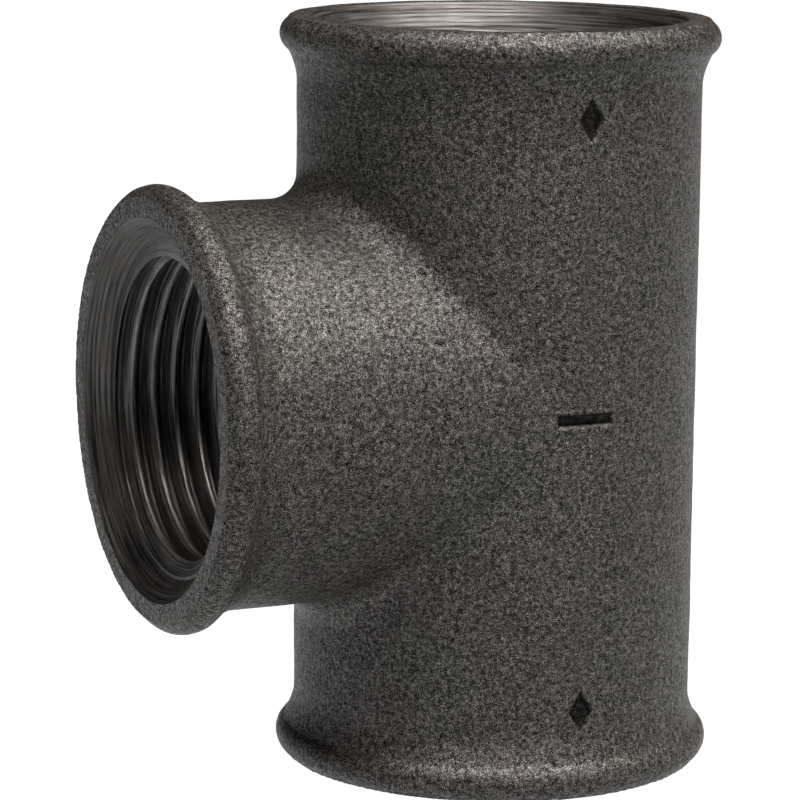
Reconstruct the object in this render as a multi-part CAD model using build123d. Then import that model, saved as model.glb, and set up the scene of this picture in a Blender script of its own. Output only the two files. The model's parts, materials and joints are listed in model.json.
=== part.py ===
from build123d import *
import math
import os

# Equal tee fitting for 1 inch pipe, cast in malleable iron and tapped at its three ports.
# Origin at the centre of the lower end face. +Z runs up the run's axis, and the branch points along -X.
# All sizes are in mm.

# Thread: 1 inch parallel pipe thread of the Whitworth form
THREAD_MAJOR_D = 33.249
THREAD_PITCH = 2.309
THREAD_DEPTH = 0.640327 * THREAD_PITCH
THREAD_ROOT_FLAT = THREAD_PITCH / 6
THREAD_HALF_ANGLE = 27.5
THREAD_FADE = 0.9 * THREAD_PITCH  # the tap leaves the last turn shallower and shallower
CREST_DRAFT = 0.12  # the cored hole is wider at the mouth by this radius

# Lengths along each arm
CENTRE_TO_FACE = 38.0
THROAT = 2.5  # plain bore behind the thread
SHOULDER_CONE = 1.5  # slope from the throat out to the chamber
SHOULDER = 2.5  # from the chamber of one arm to the shoulder of the next

# Walls and beads
WALL = 3.9  # barrel wall outside the thread
BRANCH_STEP = 0.2  # the branch barrel is slimmer by this radius
BEAD_HEIGHT = 1.8
BEAD_ROUND = 1.9
BEAD_FILLET = 2.8
CROTCH_FILLET = 3.5
CHAMBER_CLEARANCE = 0.4  # the chamber is wider than the thread by this radius

# Mouth
MOUTH_STEP = 2.5  # the countersink opens this far beyond the thread
ENTRY_STEP = 0.3  # and ends this far beyond it
COUNTERSINK_HALF_ANGLE = 42.0

# Marks recessed in the front of the run
MARK_DEPTH = 0.8
DASH_LENGTH = 5.8
DASH_WIDTH = 1.0
PIP_WIDTH = 2.4
PIP_HEIGHT = 4.0
PIP_FROM_CENTRE = 29.4

OVERRUN = 1.0  # cutting tools start and end this far outside what they cut

RUN_LENGTH = 2 * CENTRE_TO_FACE
MAJOR_R = THREAD_MAJOR_D / 2
MINOR_R = MAJOR_R - THREAD_DEPTH
RUN_R = MAJOR_R + WALL
BRANCH_R = RUN_R - BRANCH_STEP
BEAD_R = RUN_R + BEAD_HEIGHT
CHAMBER_R = MAJOR_R + CHAMBER_CLEARANCE
MOUTH_R = MAJOR_R + MOUTH_STEP
ENTRY_R = MAJOR_R + ENTRY_STEP
COUNTERSINK_SLOPE = math.tan(math.radians(COUNTERSINK_HALF_ANGLE))
COUNTERSINK_DEPTH = (MOUTH_R - ENTRY_R) / COUNTERSINK_SLOPE
PORT_DEPTH = CENTRE_TO_FACE - CHAMBER_R - SHOULDER
THROAT_END = PORT_DEPTH - SHOULDER_CONE
THROAT_START = THROAT_END - THROAT
GROOVE_DEPTH = THREAD_DEPTH + CREST_DRAFT
FULL_THREAD = THROAT_START - THREAD_FADE / 2

# Each port's place: a frame at the centre of its face, with Z running into the fitting
LOWER_FACE = Pos(0, 0, 0)
UPPER_FACE = Pos(0, 0, RUN_LENGTH) * Rot(180, 0, 0)
BRANCH_FACE = Pos(-CENTRE_TO_FACE, 0, CENTRE_TO_FACE) * Rot(0, 90, 0)


def arc_point(centre, radius, angle):
    """A point on a circle in the half section, with the angle in radians from the outward direction."""
    return (centre[0] + radius * math.cos(angle), centre[1] + radius * math.sin(angle))


def solid_arm(barrel_r):
    """A solid arm from its beaded face at z = 0 up to the fitting's centre."""
    bead_centre = (BEAD_R - BEAD_ROUND, BEAD_ROUND)
    lean = math.acos((barrel_r + BEAD_FILLET - bead_centre[0]) / (BEAD_ROUND + BEAD_FILLET))
    fillet_centre = arc_point(bead_centre, BEAD_ROUND + BEAD_FILLET, lean)
    face_edge = (bead_centre[0], 0)
    crown = arc_point(bead_centre, BEAD_ROUND, (lean - math.pi / 2) / 2)
    touch = arc_point(bead_centre, BEAD_ROUND, lean)
    waist = arc_point(fillet_centre, BEAD_FILLET, math.pi + lean / 2)
    barrel_start = (barrel_r, fillet_centre[1])
    outline = [
        Line((0, 0), face_edge),
        ThreePointArc(face_edge, crown, touch),
        ThreePointArc(touch, waist, barrel_start),
        Line(barrel_start, (barrel_r, CENTRE_TO_FACE)),
        Line((barrel_r, CENTRE_TO_FACE), (0, CENTRE_TO_FACE)),
        Line((0, CENTRE_TO_FACE), (0, 0)),
    ]
    return revolve(Plane.XZ * make_face(outline), Axis.Z)


def is_crotch(edge):
    """Is this an edge where the branch barrel meets the run barrel?"""
    middle = edge @ 0.5
    off_run = abs(math.hypot(middle.X, middle.Y) - RUN_R)
    off_branch = abs(math.hypot(middle.Y, middle.Z - CENTRE_TO_FACE) - BRANCH_R)
    return max(off_run, off_branch) < 0.01


def outer_body():
    """The outside of the casting, filled in: run, branch and the rounded crotch between them."""
    run = LOWER_FACE * solid_arm(RUN_R) + UPPER_FACE * solid_arm(RUN_R)
    body = run + BRANCH_FACE * solid_arm(BRANCH_R)
    return fillet(body.edges().filter_by(is_crotch), CROTCH_FILLET)


def chamber_arm():
    """The wide cored hollow of one arm, from the end of its port to the fitting's centre."""
    length = CENTRE_TO_FACE - PORT_DEPTH
    return Pos(0, 0, CENTRE_TO_FACE - length / 2) * Cylinder(CHAMBER_R, length)


def port_bore():
    """Everything round that is cut away at one port: countersink, tapping bore, throat and shoulder."""
    outline = Polyline(
        (0, -OVERRUN),
        (MOUTH_R + OVERRUN * COUNTERSINK_SLOPE, -OVERRUN),
        (ENTRY_R, COUNTERSINK_DEPTH),
        (MINOR_R + CREST_DRAFT, COUNTERSINK_DEPTH),
        (MINOR_R, THROAT_START),
        (MINOR_R, THROAT_END),
        (CHAMBER_R, PORT_DEPTH),
        (0, PORT_DEPTH),
        close=True,
    )
    return revolve(Plane.XZ * make_face(outline), Axis.Z)


def groove_section():
    """Section through the thread groove, with the middle of its root at X = MAJOR_R and its open side inwards."""
    half_root = THREAD_ROOT_FLAT / 2
    half_open = half_root + GROOVE_DEPTH * math.tan(math.radians(THREAD_HALF_ANGLE))
    outline = Polyline(
        (MAJOR_R, -half_root),
        (MAJOR_R, half_root),
        (MAJOR_R - GROOVE_DEPTH, half_open),
        (MAJOR_R - GROOVE_DEPTH, -half_open),
        close=True,
    )
    return Plane.XZ * make_face(outline)


def thread_groove():
    """The two lengths of one port's helical groove: the full thread, and the fade where the tap ran out."""
    narrowing = math.degrees(math.atan(GROOVE_DEPTH / THREAD_FADE))
    full = sweep(groove_section(), path=Helix(THREAD_PITCH, FULL_THREAD, MAJOR_R), is_frenet=True)
    spiral = Helix(THREAD_PITCH, THREAD_FADE, MAJOR_R, cone_angle=-narrowing)
    fade = sweep(groove_section(), path=spiral, is_frenet=True)
    turned = 360 * FULL_THREAD / THREAD_PITCH
    return [full, Pos(0, 0, FULL_THREAD) * Rot(0, 0, turned) * fade]


def front_marks():
    """Cutters for the marks on the front of the run: a dash at the centre and a lozenge above and below it."""
    dash = RectangleRounded(DASH_LENGTH, DASH_WIDTH, DASH_WIDTH / 3)
    half_width = PIP_WIDTH / 2
    half_height = PIP_HEIGHT / 2
    lozenge = make_face(
        Polyline((-half_width, 0), (0, half_height), (half_width, 0), (0, -half_height), close=True)
    )
    front = Pos(0, MARK_DEPTH - RUN_R, CENTRE_TO_FACE) * Rot(90, 0, 0)
    outlines = [dash, Pos(0, PIP_FROM_CENTRE) * lozenge, Pos(0, -PIP_FROM_CENTRE) * lozenge]
    return [front * extrude(outline, MARK_DEPTH + OVERRUN) for outline in outlines]


def tee_body():
    """The finished casting, with its hollows, tapped ports and marks cut."""
    ports = [LOWER_FACE, UPPER_FACE, BRANCH_FACE]
    body = outer_body() - [port * chamber_arm() for port in ports]
    body -= [port * port_bore() for port in ports]
    for port in ports:
        body -= [port * piece for piece in thread_groove()]
    return body - front_marks()


os.makedirs("parts", exist_ok=True)
export_step(tee_body(), "parts/tee_body.step")
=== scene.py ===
import json
import math

import bmesh
import bpy
import numpy as np
from mathutils import Matrix, Vector


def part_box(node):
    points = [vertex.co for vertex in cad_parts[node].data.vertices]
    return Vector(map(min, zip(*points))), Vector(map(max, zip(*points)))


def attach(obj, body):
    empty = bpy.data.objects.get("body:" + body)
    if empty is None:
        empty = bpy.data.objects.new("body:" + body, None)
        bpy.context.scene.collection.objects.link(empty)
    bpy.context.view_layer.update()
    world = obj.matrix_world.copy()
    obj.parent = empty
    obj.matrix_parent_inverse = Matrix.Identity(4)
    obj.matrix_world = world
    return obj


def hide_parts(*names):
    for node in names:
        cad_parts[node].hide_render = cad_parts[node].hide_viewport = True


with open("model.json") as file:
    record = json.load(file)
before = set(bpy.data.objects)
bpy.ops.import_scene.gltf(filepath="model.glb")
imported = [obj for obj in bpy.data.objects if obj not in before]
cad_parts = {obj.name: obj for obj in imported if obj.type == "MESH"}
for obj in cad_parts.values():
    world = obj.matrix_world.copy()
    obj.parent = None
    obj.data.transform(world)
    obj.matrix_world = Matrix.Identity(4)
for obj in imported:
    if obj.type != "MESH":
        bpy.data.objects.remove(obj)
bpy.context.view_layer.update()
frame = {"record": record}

# The casting is shaped in mm about the row frame's origin and scaled to metres at the end.
MM = 0.001


def in_mm(metres):
    """A length from the frame, in mm."""
    return metres / MM


# ------------------------------------------------------------------------------------------------
# Sizes
# ------------------------------------------------------------------------------------------------

node_low, node_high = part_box("tee_body")
upper_port = next(m for m in frame["record"]["mounts"] if m["name"] == "upper_port")

BEAD_R = in_mm(node_high.x)
CENTRE = in_mm(-node_low.x)
RUN_LENGTH = in_mm(node_high.z)
THROAT_R = upper_port["dims"]["r_mm"]
THROAT_LENGTH = upper_port["dims"]["length_mm"]
THROAT_START = RUN_LENGTH - in_mm(upper_port["pos_m"][2]) - THROAT_LENGTH / 2
THROAT_END = THROAT_START + THROAT_LENGTH

BEAD_HEIGHT = 1.8
BEAD_ROUND = 1.9
BEAD_FILLET = 2.8
BRANCH_STEP = 0.2
RUN_R = BEAD_R - BEAD_HEIGHT
BRANCH_R = RUN_R - BRANCH_STEP
BEAD_CENTRE_R = BEAD_R - BEAD_ROUND
CROTCH_FILLET = 3.5

# The thread, with the factors of the 55 degree form, and the rest of the hollow
PITCH = 2.309
THREAD_DEPTH = 0.640327 * PITCH
HALF_ANGLE = math.radians(27.5)
ROOT_ROUND = 0.137329 * PITCH
CREST_EDGE = 0.09
FADE = 0.9 * PITCH
MAJOR_R = THROAT_R + THREAD_DEPTH
ENTRY_R = MAJOR_R + 0.3
MOUTH_R = MAJOR_R + 2.5
COUNTERSINK_SLOPE = math.tan(math.radians(42))
COUNTERSINK_DEPTH = (MOUTH_R - ENTRY_R) / COUNTERSINK_SLOPE
CHAMBER_R = MAJOR_R + 0.4
CORE_STEP = 0.1
SHOULDER_CONE = 1.5
OVERRUN = 1.0

# The recessed marks: a dash, and a lozenge above and below it
DASH_HALF = (2.9, 0.5)
LOZENGE_HALF = (1.2, 2.0)
LOZENGE_FROM_CENTRE = 29.4
MARK_DEPTH = 0.8
MARK_EDGE = 0.36
MARK_LIP = 0.07
MARK_LIP_WIDTH = 0.14

# The depths at which the painted shade in a recessed mark starts and is full, and the margins round it
RECESS_FROM = 0.2
RECESS_FULL = 0.45
RECESS_MARGIN_X = 0.3
RECESS_MARGIN_Y = 0.5

# Seed and range of wavelengths of each unevenness of the skin, and its height
SWELL = (11, (5, 16))
SWELL_HEIGHT = 0.07
RIPPLE = (12, (1.6, 4))
RIPPLE_HEIGHT = 0.025
MARK_WOBBLE = (13, (0.5, 1.5))
MARK_WOBBLE_HEIGHT = 0.05

# The meshes
COLUMNS = 160
TURN = 2 * np.pi * np.arange(COLUMNS) / COLUMNS
COUNTERSINK_RINGS = 9
MERGE_DISTANCE = 0.002
ARM_OVERLAP = 2
CAST_CELL = 0.5
BEAD_REACH = 2 * BEAD_ROUND + 1
BEAD_CUTS = 1
MARK_REACH = 1.0
MARK_CUTS = 4
RELAX_ROUNDS = 8
PROJECT_STEPS = 5
SLOPE_STEP = 0.01
SHARP_ANGLE = math.radians(32)

# The studio, with angles in degrees
FLOOR_REACH = 3000
WARM = (1.0, 0.93, 0.89)
CAMERA_AZIMUTH = -24.6
CAMERA_ELEVATION = 10.26
CAMERA_ROLL = 0.598
CAMERA_DISTANCE = 382.85
CAMERA_TARGET = (-10.69, 0, 37.3)
CAMERA_LENS = 169.83

# Least values of what something is divided by
TINY = 1e-9
LEAST_SINE_SQUARED = 1e-6

# Material slots
CAST, TURNED, CUT, TURNED_BRANCH, CUT_BRANCH, CORED = range(6)

LOWER_PLACE = np.eye(4)
UPPER_PLACE = np.array(Matrix.Translation((0, 0, RUN_LENGTH)) @ Matrix.Rotation(math.pi, 4, "X"))
BRANCH_PLACE = np.array(
    Matrix.Translation((-CENTRE, 0, CENTRE)) @ Matrix.Rotation(math.pi / 2, 4, "Y")
)


# ------------------------------------------------------------------------------------------------
# The outside of the casting, as a signed distance in mm
# ------------------------------------------------------------------------------------------------


def rolling_fillet(first, second, cosine, radius):
    """Joins two distances with the fillet of a ball that rolls between them.

    The cosine is that of the angle between the two surfaces' outward directions.
    """
    u = radius - first
    v = radius - second
    inside = (u > 0) & (v > 0) & (u > v * cosine) & (v > u * cosine)
    sine_squared = np.maximum(1 - cosine**2, LEAST_SINE_SQUARED)
    to_ball = np.sqrt(np.maximum(u**2 + v**2 - 2 * u * v * cosine, 0) / sine_squared)
    return np.where(inside, radius - to_ball, np.minimum(first, second))


def arm_distance(radius, depth, barrel_r):
    """Distance from one arm's barrel and bead, with the depth measured in from its face."""
    over = np.maximum(radius - BEAD_CENTRE_R, 0)
    from_ring = np.maximum(np.hypot(over, depth - BEAD_ROUND), TINY)
    joined = rolling_fillet(radius - barrel_r, from_ring - BEAD_ROUND, over / from_ring, BEAD_FILLET)
    return np.maximum(joined, -depth)


def mark_outline(x, z):
    """Distance in the front view from the recessed marks, negative inside them."""
    height = z - CENTRE
    dash = np.maximum(np.abs(x) - DASH_HALF[0], np.abs(height) - DASH_HALF[1])
    along = np.abs(np.abs(height) - LOZENGE_FROM_CENTRE)
    half_width, half_height = LOZENGE_HALF
    steepness = half_width * half_height / math.hypot(half_width, half_height)
    lozenge = (np.abs(x) / half_width + along / half_height - 1) * steepness
    return np.minimum(dash, lozenge)


def cast_distance(points):
    """Distance from the outside of the casting, with its bores filled in."""
    x, y, z = points.T
    run_radius = np.maximum(np.hypot(x, y), TINY)
    branch_radius = np.maximum(np.hypot(y, z - CENTRE), TINY)
    run = arm_distance(run_radius, np.minimum(z, RUN_LENGTH - z), RUN_R)
    branch = np.maximum(arm_distance(branch_radius, x + CENTRE, BRANCH_R), x)
    return rolling_fillet(run, branch, y**2 / (run_radius * branch_radius), CROTCH_FILLET)


def outward(points):
    """Unit directions away from the casting."""
    shifts = np.eye(3) * SLOPE_STEP
    slopes = [cast_distance(points + s) - cast_distance(points - s) for s in shifts]
    direction = np.stack(slopes, axis=1)
    return direction / np.maximum(np.linalg.norm(direction, axis=1, keepdims=True), TINY)


def undulation(points, seed, wavelengths, waves=14):
    """Smooth seeded noise between 0 and 1, a sum of waves in random directions."""
    random = np.random.default_rng(seed)
    total = np.zeros(len(points))
    for _ in range(waves):
        direction = random.normal(size=3)
        direction /= np.linalg.norm(direction)
        length = random.uniform(*wavelengths)
        total += np.sin(points @ direction * (2 * np.pi / length) + random.uniform(0, 2 * np.pi))
    return 0.5 + 0.5 * np.tanh(total / math.sqrt(waves))


# ------------------------------------------------------------------------------------------------
# Mesh helpers
# ------------------------------------------------------------------------------------------------


def mesh_object(name, mesh):
    """A new object that shows the mesh."""
    obj = bpy.data.objects.new(name, mesh)
    bpy.context.scene.collection.objects.link(obj)
    return obj


class Lathe:
    """Points and faces built ring by ring about the Z axis of a port's own frame."""

    def __init__(self, place):
        self.place = place
        self.rings = []
        self.faces = []
        self.slots = []

    def ring(self, radius, depth):
        """Adds a ring. The radius and the depth may each be one number, or one for each column."""
        across = radius * np.stack([np.cos(TURN), np.sin(TURN)])
        ring = np.stack([*across, depth + 0 * TURN], axis=1)
        self.rings.append(ring @ self.place[:3, :3].T + self.place[:3, 3])

    def face(self, corners, slot):
        """Adds a face between (ring, column) corners."""
        self.faces.append([ring * COLUMNS + column % COLUMNS for ring, column in corners])
        self.slots.append(slot)

    def join(self, first, second, slot, turned_over=False):
        """Fills the band between two rings, of which the second may run the other way round."""
        way = -1 if turned_over else 1
        for j in range(COLUMNS):
            self.face([(first, j), (first, j + 1), (second, way * (j + 1)), (second, way * j)], slot)

    def join_all(self, slot, start=0):
        """Fills the bands between all rings from the given one on."""
        for first in range(start, len(self.rings) - 1):
            self.join(first, first + 1, slot)

    def cap(self, ring, slot):
        """Closes a ring with a flat face."""
        self.face([(ring, j) for j in range(COLUMNS)], slot)

    def add(self, other):
        """Takes in the rings and faces of another. Returns the number of its first ring."""
        start = len(self.rings)
        self.rings += other.rings
        self.faces += [[start * COLUMNS + corner for corner in face] for face in other.faces]
        self.slots += other.slots
        return start

    def build(self, name, materials):
        """A new object with the rings' points merged where they meet."""
        mesh = bpy.data.meshes.new(name)
        mesh.from_pydata(np.concatenate(self.rings).tolist(), [], self.faces)
        for material in materials:
            mesh.materials.append(material)
        mesh.polygons.foreach_set("material_index", self.slots)
        shape = bmesh.new()
        shape.from_mesh(mesh)
        bmesh.ops.remove_doubles(shape, verts=shape.verts, dist=MERGE_DISTANCE)
        bmesh.ops.triangulate(shape, faces=shape.faces)
        bmesh.ops.recalc_face_normals(shape, faces=shape.faces)
        shape.to_mesh(mesh)
        shape.free()
        return mesh_object(name, mesh)


def apply_modifiers(obj):
    """Bakes the object's modifiers into its mesh."""
    graph = bpy.context.evaluated_depsgraph_get()
    mesh = bpy.data.meshes.new_from_object(obj.evaluated_get(graph))
    obj.modifiers.clear()
    obj.data = mesh


def combine(obj, other, operation):
    """Joins or cuts the object with another, which is removed afterwards."""
    boolean = obj.modifiers.new("combine", "BOOLEAN")
    boolean.operation = operation
    boolean.solver = "EXACT"
    boolean.material_mode = "TRANSFER"
    boolean.object = other
    apply_modifiers(obj)
    bpy.data.objects.remove(other)


def points_of(mesh):
    """The mesh's points as an array."""
    flat = np.empty(len(mesh.vertices) * 3)
    mesh.vertices.foreach_get("co", flat)
    return flat.reshape(-1, 3)


def set_points(mesh, points):
    """Moves the mesh's points."""
    mesh.vertices.foreach_set("co", points.ravel())
    mesh.update()


# ------------------------------------------------------------------------------------------------
# The outside skin
# ------------------------------------------------------------------------------------------------


def rough_arm(place, barrel_r):
    """A plain closed arm from its face to just past the fitting's centre."""
    arm = Lathe(place)
    arm.ring(BEAD_CENTRE_R, 0)
    arm.ring(BEAD_R, BEAD_ROUND)
    arm.ring(BEAD_CENTRE_R, 2 * BEAD_ROUND)
    arm.ring(barrel_r, 2 * BEAD_ROUND + BEAD_FILLET / 2)
    arm.ring(barrel_r, CENTRE + ARM_OVERLAP)
    arm.join_all(CAST)
    arm.cap(0, CAST)
    arm.cap(len(arm.rings) - 1, CAST)
    return arm


def relax(points, edges):
    """Moves every point halfway to the middle of its neighbours."""
    total = np.zeros_like(points)
    count = np.zeros(len(points))
    for a, b in (edges.T, edges.T[::-1]):
        np.add.at(total, a, points[b])
        np.add.at(count, a, 1)
    return (points + total / count[:, None]) / 2


def project(points):
    """Moves points along the outward direction until they lie on the casting's outside."""
    for _ in range(PROJECT_STEPS):
        points = points - cast_distance(points)[:, None] * outward(points)
    return points


def refine(mesh, near, cuts):
    """Cuts the mesh finer around the points picked out by a mask."""
    shape = bmesh.new()
    shape.from_mesh(mesh)
    edges = [edge for edge in shape.edges if any(near[vert.index] for vert in edge.verts)]
    bmesh.ops.subdivide_edges(shape, edges=edges, cuts=cuts, use_grid_fill=True)
    bmesh.ops.triangulate(shape, faces=[face for face in shape.faces if len(face.verts) > 4])
    shape.to_mesh(mesh)
    shape.free()


def on_beads(points):
    """Which of the points lie on a bead."""
    x, _, z = points.T
    return np.minimum(np.minimum(z, RUN_LENGTH - z), x + CENTRE) < BEAD_REACH


def by_marks(points):
    """Which of the points lie in or beside a recessed mark."""
    x, y, z = points.T
    return (y < 0) & (mark_outline(x, z) < MARK_REACH)


def sink_marks(points):
    """Moves the points within the marks back to the marks' flat floor.

    The marks have soft edges and a low raised lip.
    """
    x, y, z = points.T
    wobble = MARK_WOBBLE_HEIGHT * (undulation(points, *MARK_WOBBLE) - 0.5)
    outline = mark_outline(x, z) + wobble
    share = np.clip(0.5 - outline / MARK_EDGE, 0, 1)
    share = share * share * (3 - 2 * share)
    lip = MARK_LIP * np.exp(-(((outline - MARK_EDGE) / MARK_LIP_WIDTH) ** 2))
    backwards = np.where(y < 0, share * (MARK_DEPTH - RUN_R - y) - lip, 0)
    return points + np.outer(backwards, (0, 1, 0))


def make_skin(materials):
    """The outside of the casting as one closed object, with the small unevenness of cast iron."""
    arms = rough_arm(LOWER_PLACE, RUN_R)
    arms.add(rough_arm(UPPER_PLACE, RUN_R))
    arms.add(rough_arm(BRANCH_PLACE, BRANCH_R))
    skin = arms.build("tee_casting", materials)
    remesh = skin.modifiers.new("cells", "REMESH")
    remesh.mode = "VOXEL"
    remesh.voxel_size = CAST_CELL
    apply_modifiers(skin)
    refine(skin.data, on_beads(points_of(skin.data)), BEAD_CUTS)
    refine(skin.data, by_marks(points_of(skin.data)), MARK_CUTS)
    edges = np.array([edge.vertices[:] for edge in skin.data.edges])
    points = project(points_of(skin.data))
    for _ in range(RELAX_ROUNDS):
        points = project(relax(points, edges))
    swell = SWELL_HEIGHT * undulation(points, *SWELL)
    ripple = RIPPLE_HEIGHT * undulation(points, *RIPPLE)
    uneven = points - (swell + ripple)[:, None] * outward(points)
    set_points(skin.data, sink_marks(uneven))
    return skin


# ------------------------------------------------------------------------------------------------
# The tapped ports and the hollow between them
# ------------------------------------------------------------------------------------------------


def thread_section():
    """One pitch of the thread's section: distance along the pitch and depth of the groove."""
    lean = math.pi / 2 - HALF_ANGLE
    touch = (ROOT_ROUND * math.sin(lean), THREAD_DEPTH - ROOT_ROUND * (1 - math.cos(lean)))
    crest = touch[0] + touch[1] * math.tan(HALF_ANGLE)
    edge = (crest - CREST_EDGE * math.sin(HALF_ANGLE), CREST_EDGE * math.cos(HALF_ANGLE))
    half_lean = lean / 2
    half = [
        (0, THREAD_DEPTH),
        (ROOT_ROUND * math.sin(half_lean), THREAD_DEPTH - ROOT_ROUND * (1 - math.cos(half_lean))),
        touch,
        ((touch[0] + edge[0]) / 2, (touch[1] + edge[1]) / 2),
        edge,
        (crest + CREST_EDGE, 0),
        (PITCH / 2, 0),
    ]
    mirrored = [(PITCH - along, depth) for along, depth in reversed(half[1:-1])]
    return np.array(half + mirrored)


def groove_depth(depth, section):
    """Depth of the thread's groove round a ring, less and less where the tap ran out."""
    along, cut = np.vstack([section, (PITCH, THREAD_DEPTH)]).T
    phase = np.mod(depth - COUNTERSINK_DEPTH - PITCH * TURN / (2 * np.pi), PITCH)
    run_out = np.clip((depth - THROAT_START + FADE / 2) / FADE, 0, 1)
    return np.maximum(np.interp(phase, along, cut) - THREAD_DEPTH * run_out, 0)


def add_thread(port, slot):
    """Adds the tapped wall: rings that climb one pitch per turn, held within the tapped length."""
    section = thread_section()
    per_pitch = len(section)
    pitches = math.ceil((THROAT_END - COUNTERSINK_DEPTH) / PITCH)
    start = len(port.rings)
    for row in range(-per_pitch, pitches * per_pitch + 1):
        along = row // per_pitch * PITCH + section[row % per_pitch][0]
        climbing = COUNTERSINK_DEPTH + along + PITCH * TURN / (2 * np.pi)
        depth = np.clip(climbing, COUNTERSINK_DEPTH, THROAT_END)
        port.ring(THROAT_R + groove_depth(depth, section), depth)
    last = len(port.rings) - 1
    for row in range(start, last):
        for j in range(COLUMNS - 1):
            port.face([(row, j), (row, j + 1), (row + 1, j + 1), (row + 1, j)], slot)
        next_turn = min(row + per_pitch, last)
        after = min(row + 1 + per_pitch, last)
        if next_turn < after:
            port.face([(row, COLUMNS - 1), (next_turn, 0), (after, 0), (row + 1, COLUMNS - 1)], slot)


def port_hollow(place, chamber_r, turned, cut):
    """The hollow of one port from outside its mouth to the end of its shoulder."""
    port = Lathe(place)
    port.ring(MOUTH_R + OVERRUN * COUNTERSINK_SLOPE, -OVERRUN)
    for share in np.linspace(0, 1, COUNTERSINK_RINGS):
        port.ring(MOUTH_R + (ENTRY_R - MOUTH_R) * share, COUNTERSINK_DEPTH * share)
    port.join_all(turned)
    port.cap(0, turned)
    entry = len(port.rings) - 1
    add_thread(port, cut)
    port.join(entry, entry + 1, turned)
    throat = len(port.rings) - 1
    for share in (0.5, 1):
        port.ring(THROAT_R + (chamber_r - THROAT_R) * share, THROAT_END + SHOULDER_CONE * share)
    port.join_all(CORED, throat)
    return port


def run_hollow(materials):
    """The waterway through the run, with a tapped port at each end."""
    hollow = port_hollow(LOWER_PLACE, CHAMBER_R, TURNED, CUT)
    lower_end = len(hollow.rings) - 1
    hollow.add(port_hollow(UPPER_PLACE, CHAMBER_R, TURNED, CUT))
    hollow.join(lower_end, len(hollow.rings) - 1, CORED, turned_over=True)
    return hollow.build("run_hollow", materials)


def branch_hollow(materials):
    """The branch's waterway, from outside its mouth to the run's axis."""
    chamber_r = CHAMBER_R - CORE_STEP
    hollow = port_hollow(BRANCH_PLACE, chamber_r, TURNED_BRANCH, CUT_BRANCH)
    shoulder = len(hollow.rings) - 1
    hollow.ring(chamber_r, CENTRE)
    hollow.join_all(CORED, shoulder)
    hollow.cap(shoulder + 1, CORED)
    return hollow.build("branch_hollow", materials)


# ------------------------------------------------------------------------------------------------
# Materials. Patterns are laid out in mm about the row frame's origin.
# ------------------------------------------------------------------------------------------------


class Finish:
    """One material, with short calls for the nodes it is built from."""

    def __init__(self, name):
        self.material = bpy.data.materials.new(name)
        self.material.use_nodes = True
        self.tree = self.material.node_tree
        self.shader = self.tree.nodes["Principled BSDF"]
        self.place = self.node("ShaderNodeVectorMath", {3: 1 / MM}, 0, operation="SCALE")
        in_metres = self.node("ShaderNodeTexCoord", {}, "Object")
        self.tree.links.new(in_metres, self.place.node.inputs[0])

    def node(self, kind, inputs, output=0, **settings):
        """Adds a node, feeds its inputs with sockets or values, and returns one of its outputs."""
        made = self.tree.nodes.new(kind)
        for name, value in settings.items():
            setattr(made, name, value)
        for key, value in inputs.items():
            self.feed(made.inputs[key], value)
        return made.outputs[output]

    def feed(self, socket, value):
        """Links a socket to an output, or sets its value."""
        if isinstance(value, bpy.types.NodeSocket):
            self.tree.links.new(value, socket)
        else:
            socket.default_value = value

    def math(self, operation, first, second=0.0, third=0.0):
        """A number worked out from up to three others."""
        return self.node("ShaderNodeMath", {0: first, 1: second, 2: third}, operation=operation)

    def length(self, first, second):
        """The length of a vector with two parts."""
        squares = [self.math("MULTIPLY", part, part) for part in (first, second)]
        return self.math("SQRT", self.math("ADD", *squares))

    def noise(self, scale, detail=2.0, roughness=0.5, vector=None):
        """Noise between 0 and 1 with features of about 1 / scale mm."""
        inputs = {"Vector": vector or self.place, "Scale": scale, "Detail": detail, "Roughness": roughness}
        return self.node("ShaderNodeTexNoise", inputs, "Fac")

    def span(self, value, low, high, to_low=0.0, to_high=1.0):
        """Takes a range of values to another, and holds it there beyond the ends."""
        inputs = {0: value, 1: low, 2: high, 3: to_low, 4: to_high}
        return self.node("ShaderNodeMapRange", inputs)

    def mix(self, share, first, second):
        """A colour between two others."""
        return self.node("ShaderNodeMix", {0: share, 6: first, 7: second}, 2, data_type="RGBA")

    def bump(self, height, distance):
        """Surface relief with the height given as a share of a distance in mm."""
        return self.node("ShaderNodeBump", {"Height": height, "Distance": distance * MM, "Strength": 1.0})

    def coordinates(self):
        """The three coordinates of the place, in mm."""
        split = self.tree.nodes.new("ShaderNodeSeparateXYZ")
        self.tree.links.new(self.place, split.inputs[0])
        return split.outputs

    def recess(self):
        """One inside the marks recessed in the front of the run, and nothing elsewhere: where the marks
        get painted shade.
        """
        x, y, _ = self.coordinates()
        deep = self.span(self.length(x, y), RUN_R - RECESS_FULL, RUN_R - RECESS_FROM, 1.0, 0.0)
        beside = self.math("LESS_THAN", self.math("ABSOLUTE", x), DASH_HALF[0] + RECESS_MARGIN_X)
        front = self.math("LESS_THAN", y, MARK_DEPTH - RUN_R + RECESS_MARGIN_Y)
        return self.math("MULTIPLY", deep, self.math("MULTIPLY", beside, front))

    def open_air(self):
        """A quarter inside the recessed marks, where little light comes in, and one elsewhere."""
        return self.math("MULTIPLY_ADD", self.recess(), -0.75, 1.0)

    def set(self, **sockets):
        """Feeds the shader's own sockets. Underscores stand for spaces."""
        for name, value in sockets.items():
            self.feed(self.shader.inputs[name.replace("_", " ")], value)
        return self.material


def grey(level, warmth=0.0):
    """A grey, turned slightly towards brown by the warmth."""
    return (level * (1 + warmth), level, level * (1 - warmth), 1.0)


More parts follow.
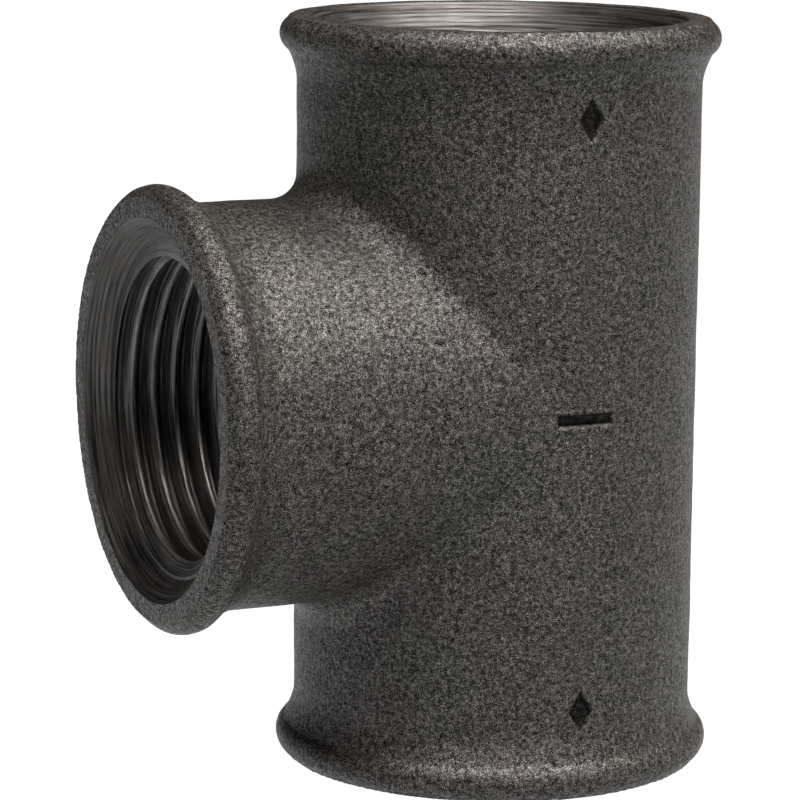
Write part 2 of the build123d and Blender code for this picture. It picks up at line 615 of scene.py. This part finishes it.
def cast_finish(name, first, second):
    """Black cast iron: mottled scale and sandy grain, oily on the peaks and dull in the pits.

    The two colours take turns in broad patches. Inside the recessed marks the colour is darkened as
    painted shade.
    """
    finish = Finish(name)
    patches = finish.noise(0.06, 3.0, 0.55)
    mottle = finish.noise(0.8, 3.0, 0.55)
    pebbles = finish.noise(2.3, 2.0, 0.5)
    grain = finish.noise(11.0, 2.0, 0.6)
    peaks = finish.math("MULTIPLY_ADD", pebbles, 0.35, grain)
    colour = finish.mix(finish.span(patches, 0.45, 0.55), first, second)
    colour = finish.mix(finish.span(peaks, 0.55, 0.72), grey(0.001), colour)
    colour = finish.mix(finish.span(peaks, 0.72, 0.92), colour, grey(0.22, 0.06))
    relief = finish.math("MULTIPLY_ADD", pebbles, 2.0, grain)
    relief = finish.math("MULTIPLY_ADD", mottle, 2.2, relief)
    gloss = finish.span(peaks, 0.6, 0.84, 0.02, 1.0)
    bare = finish.span(peaks, 0.7, 0.92, 0.0, 0.55)
    # Painted shade: the colour inside the recessed marks is darkened most of the way to near black.
    painted_recess_shade = finish.math("MULTIPLY", finish.recess(), 0.7)
    return finish.set(
        Base_Color=finish.mix(painted_recess_shade, colour, grey(0.004)),
        Metallic=finish.math("MULTIPLY", bare, finish.open_air()),
        Roughness=finish.span(peaks, 0.55, 0.85, 0.55, 0.38),
        Specular_IOR_Level=finish.math("MULTIPLY", gloss, finish.open_air()),
        Normal=finish.bump(relief, 0.055),
    )


def machined_finish(name, along, level, low, high, ring_scale):
    """Bright iron cut on a lathe or by a tap, with fine rings about the port's axis.

    The port lies along x or z. The level is the share of the colour that is kept from the thread's roots
    outwards, where the crests keep all of it: painted shade in the thread's grooves, and the countersink
    beyond keeps the same darker level.
    """
    finish = Finish(name)
    x, y, z = finish.coordinates()
    above = finish.math("SUBTRACT", z, CENTRE)
    outwards, across = (x, above) if along == "x" else (above, x)
    depth = finish.math("ABSOLUTE", outwards)
    radius = finish.length(across, y)
    drift = {
        0: finish.math("MULTIPLY", across, 0.03),
        1: finish.math("MULTIPLY", y, 0.03),
        2: finish.math("ADD", depth, radius),
    }
    rings_at = finish.node("ShaderNodeCombineXYZ", drift)
    rings = finish.noise(ring_scale, 3.0, 0.7, rings_at)
    smears = finish.noise(0.5, 3.0, 0.6)
    stain = finish.noise(0.16, 3.0, 0.6)
    # Painted shade: the colour darkens from the thread's crests towards its roots.
    painted_groove_shade = finish.span(radius, THROAT_R, MAJOR_R, 1.0, level)
    colour = finish.mix(finish.span(rings, 0.38, 0.62), low, high)
    colour = finish.mix(finish.span(stain, 0.45, 0.7, 0.0, 0.6), colour, grey(0.06, 0.1))
    colour = finish.mix(painted_groove_shade, grey(0.015), colour)
    return finish.set(
        Base_Color=colour,
        Metallic=0.85,
        Roughness=finish.span(finish.math("ADD", smears, rings), 0.7, 1.3, 0.38, 0.56),
        Normal=finish.bump(rings, 0.07),
    )


def pale_finish(name, level, glow):
    """A plain pale floor that glows evenly, like a light table."""
    finish = Finish(name)
    tone = finish.mix(finish.noise(0.002), grey(level), grey(1.2 * level))
    return finish.set(Base_Color=tone, Roughness=0.9, Emission_Color=grey(1.0), Emission_Strength=glow)


# ------------------------------------------------------------------------------------------------
# Floor, lights and camera
# ------------------------------------------------------------------------------------------------


def make_floor(material):
    """A flat floor at the height on which the fitting stands."""
    signs = ((-1, -1), (1, -1), (1, 1), (-1, 1))
    corners = [(x * FLOOR_REACH, y * FLOOR_REACH, 0) for x, y in signs]
    mesh = bpy.data.meshes.new("floor")
    mesh.from_pydata(corners, [], [(0, 1, 2, 3)])
    mesh.materials.append(material)
    mesh.transform(Matrix.Scale(MM, 4))
    return mesh_object("floor", mesh)


def direction(azimuth, elevation):
    """Unit vector from the fitting towards a viewer or light. Azimuth 0 is along -Y, 90 along +X."""
    a, e = math.radians(azimuth), math.radians(elevation)
    return Vector((math.sin(a) * math.cos(e), -math.cos(a) * math.cos(e), math.sin(e)))


def softbox(name, offset, rotation, size, power):
    """A warm rectangular light, at an offset in mm from the middle of the fitting.

    Without a rotation it lies level and shines down.
    """
    light = bpy.data.lights.new(name, "AREA")
    light.shape = "RECTANGLE"
    light.size, light.size_y = size[0] * MM, size[1] * MM
    light.energy = power
    light.color = WARM
    lamp = bpy.data.objects.new(name, light)
    lamp.location = (Vector((0, 0, CENTRE)) + offset) * MM
    lamp.rotation_euler = rotation
    bpy.context.scene.collection.objects.link(lamp)


def set_world(colour, strength):
    """Even light from all round."""
    world = bpy.data.worlds.new("studio")
    world.use_nodes = True
    background = world.node_tree.nodes["Background"]
    background.inputs["Color"].default_value = colour
    background.inputs["Strength"].default_value = strength
    bpy.context.scene.world = world


def light_the_fitting():
    """A broad softbox overhead, a weak one in front, and a little light from all round."""
    set_world(grey(1.0), 0.03)
    softbox("overhead", Vector((110, -185, 500)), (0, 0, 0), (640, 220), 12.0)
    towards = direction(5, 6)
    softbox("front", towards * 900, towards.to_track_quat("Z", "Y").to_euler(), (600, 600), 2.4)


def make_camera():
    """A long lens that looks from a little above at the front and into the branch."""
    roll = math.radians(CAMERA_ROLL)
    back = direction(CAMERA_AZIMUTH, CAMERA_ELEVATION)
    level = direction(CAMERA_AZIMUTH + 90, 0)
    up = back.cross(level)
    right = math.cos(roll) * level + math.sin(roll) * up
    camera = bpy.data.objects.new("camera", bpy.data.cameras.new("camera"))
    camera.data.sensor_width = 36
    camera.data.lens = CAMERA_LENS
    camera.data.clip_start, camera.data.clip_end = 0.01, 20
    pose = Matrix([right, back.cross(right), back]).transposed().to_4x4()
    place = Vector(CAMERA_TARGET) + back * CAMERA_DISTANCE
    camera.matrix_world = Matrix.Translation(place * MM) @ pose
    bpy.context.scene.collection.objects.link(camera)
    bpy.context.scene.camera = camera


# ------------------------------------------------------------------------------------------------
# Build
# ------------------------------------------------------------------------------------------------


def make_casting():
    """The whole fitting: the cast skin with its two hollows cut out."""
    turned = {"level": 0.5, "low": grey(0.006, 0.04), "high": grey(0.17, 0.03), "ring_scale": 2.6}
    cut = {"level": 0.25, "low": grey(0.008, 0.04), "high": grey(0.28, 0.02), "ring_scale": 4.0}
    reddish = (0.0155, 0.0125, 0.0115, 1.0)
    greenish = (0.0145, 0.0155, 0.012, 1.0)
    materials = [
        cast_finish("cast_skin", reddish, greenish),
        machined_finish("turned_run", "z", **turned),
        machined_finish("cut_run", "z", **cut),
        machined_finish("turned_branch", "x", **turned),
        machined_finish("cut_branch", "x", **cut),
        cast_finish("cored_inside", grey(0.02, 0.08), grey(0.03, 0.12)),
    ]
    casting = make_skin(materials)
    combine(casting, run_hollow(materials), "DIFFERENCE")
    combine(casting, branch_hollow(materials), "DIFFERENCE")
    casting.data.transform(Matrix.Scale(MM, 4))
    casting.data.shade_smooth()
    casting.data.set_sharp_from_angle(angle=SHARP_ANGLE)
    return casting


casting = make_casting()
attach(casting, "root")
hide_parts("tee_body")
make_floor(pale_finish("pale_floor", 0.04, 1.0))

light_the_fitting()
bpy.context.scene.view_settings.view_transform = "Standard"
make_camera()
